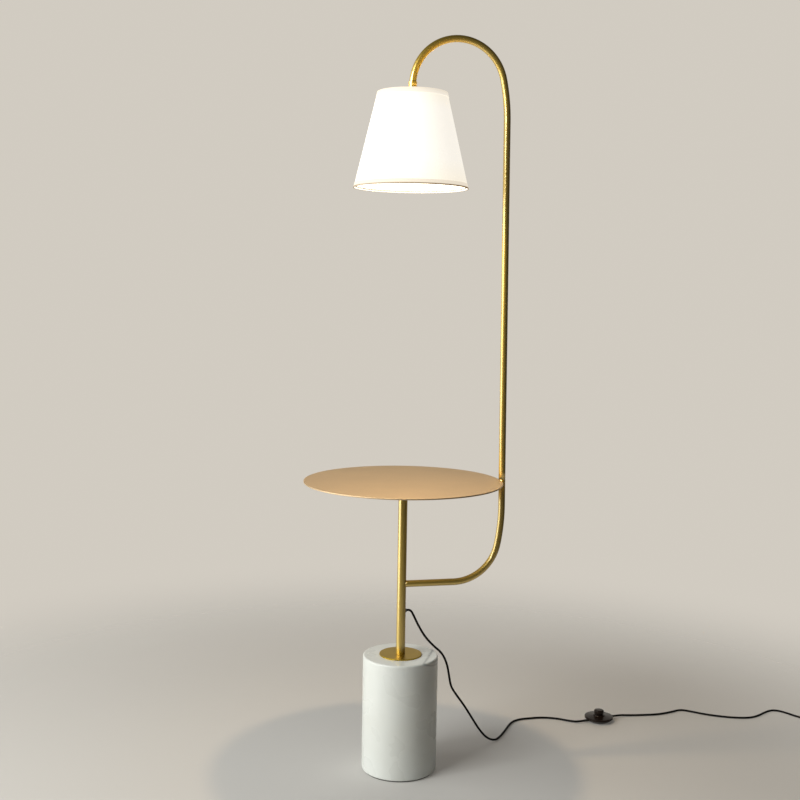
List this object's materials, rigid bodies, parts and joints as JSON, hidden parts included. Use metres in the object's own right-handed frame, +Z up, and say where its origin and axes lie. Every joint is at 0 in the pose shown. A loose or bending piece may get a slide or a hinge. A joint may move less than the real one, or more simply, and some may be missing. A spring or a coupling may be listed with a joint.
{
  "type": "shelf floor lamp",
  "caption": "Floor lamp with a marble drum base, a round side table on the stem and a side pole that bends over in a gooseneck to hold a tapered fabric shade; corded, with a foot switch.",
  "frame": {"origin": "middle of the base's underside, on the floor", "axes": "+Z up along the stem, +X from the stem towards the arm and the pole; the picture was taken from -Y, 12.8 degrees round towards -X"},
  "size_m": [1.373, 0.4401, 1.593],
  "materials": {
    "marble": "polished white marble with faint grey veins",
    "felt": "felt",
    "brass": "satin brass",
    "table": "satin brass-coloured lacquer",
    "steel": "zinc plated",
    "contact_brass": "plain",
    "rubber": "moulded",
    "cord": "smooth sheath",
    "tie": "twist tie",
    "white_paint": "powder coat",
    "fabric": "woven linen",
    "trim": "woven tape",
    "liner": "translucent sheet",
    "cardboard": "plain",
    "porcelain": "glazed",
    "aluminium": "plain",
    "solder": "plain",
    "bulb": "frosted",
    "switch_shell": "gloss",
    "plug": "moulded"
  },
  "bodies": {
    "lamp": {"marble_base": "marble", "felt_pad": "felt", "base_flange": "brass", "stem_tube": "brass", "arm_tube": "brass", "neck_tube": "brass", "neck_collar": "brass", "socket_cap": "brass", "socket_shell": "brass", "table_top": "table", "tie_rod": "steel", "base_washer": "steel", "base_lock_washer": "steel", "base_nut": "steel", "stem_foot_plug": "steel", "stem_head_plug": "steel", "table_hub": "steel", "table_studs": "steel", "table_nuts": "steel", "pole_coupling": "steel", "neck_plug": "steel", "neck_nipple": "steel", "cap_nut": "steel", "socket_terminals": "steel", "switch_spring": "steel", "switch_screws": "steel", "socket_contact": "contact_brass", "switch_contacts": "contact_brass", "plug_blades": "contact_brass", "cord_grommet": "rubber", "switch_feet": "rubber", "switch_bushes": "rubber", "plug_relief": "rubber", "internal_lead": "cord", "cord_to_switch": "cord", "cord_to_plug": "cord", "cord_coil": "cord", "coil_tie": "tie", "shade_spider": "white_paint", "shade_top_ring": "white_paint", "shade_bottom_ring": "white_paint", "shade_fabric": "fabric", "shade_top_trim": "trim", "shade_bottom_trim": "trim", "shade_liner": "liner", "socket_liner": "cardboard", "socket_body": "porcelain", "socket_screw_shell": "aluminium", "bulb_cap": "aluminium", "bulb_tip": "solder", "bulb_glass": "bulb", "switch_base": "switch_shell", "switch_cover": "switch_shell", "plug_body": "plug"},
    "foot_button": {"switch_button": "switch_shell"}
  },
  "joints": [
    {"name": "button_press", "type": "slide", "parent": "lamp", "child": "foot_button", "axis": [0, 0, -1], "range_m": [0, 0.003], "stiffness_N_per_m": 800, "springref_m": -0.003, "deforming": ["switch_spring"]}
  ]
}
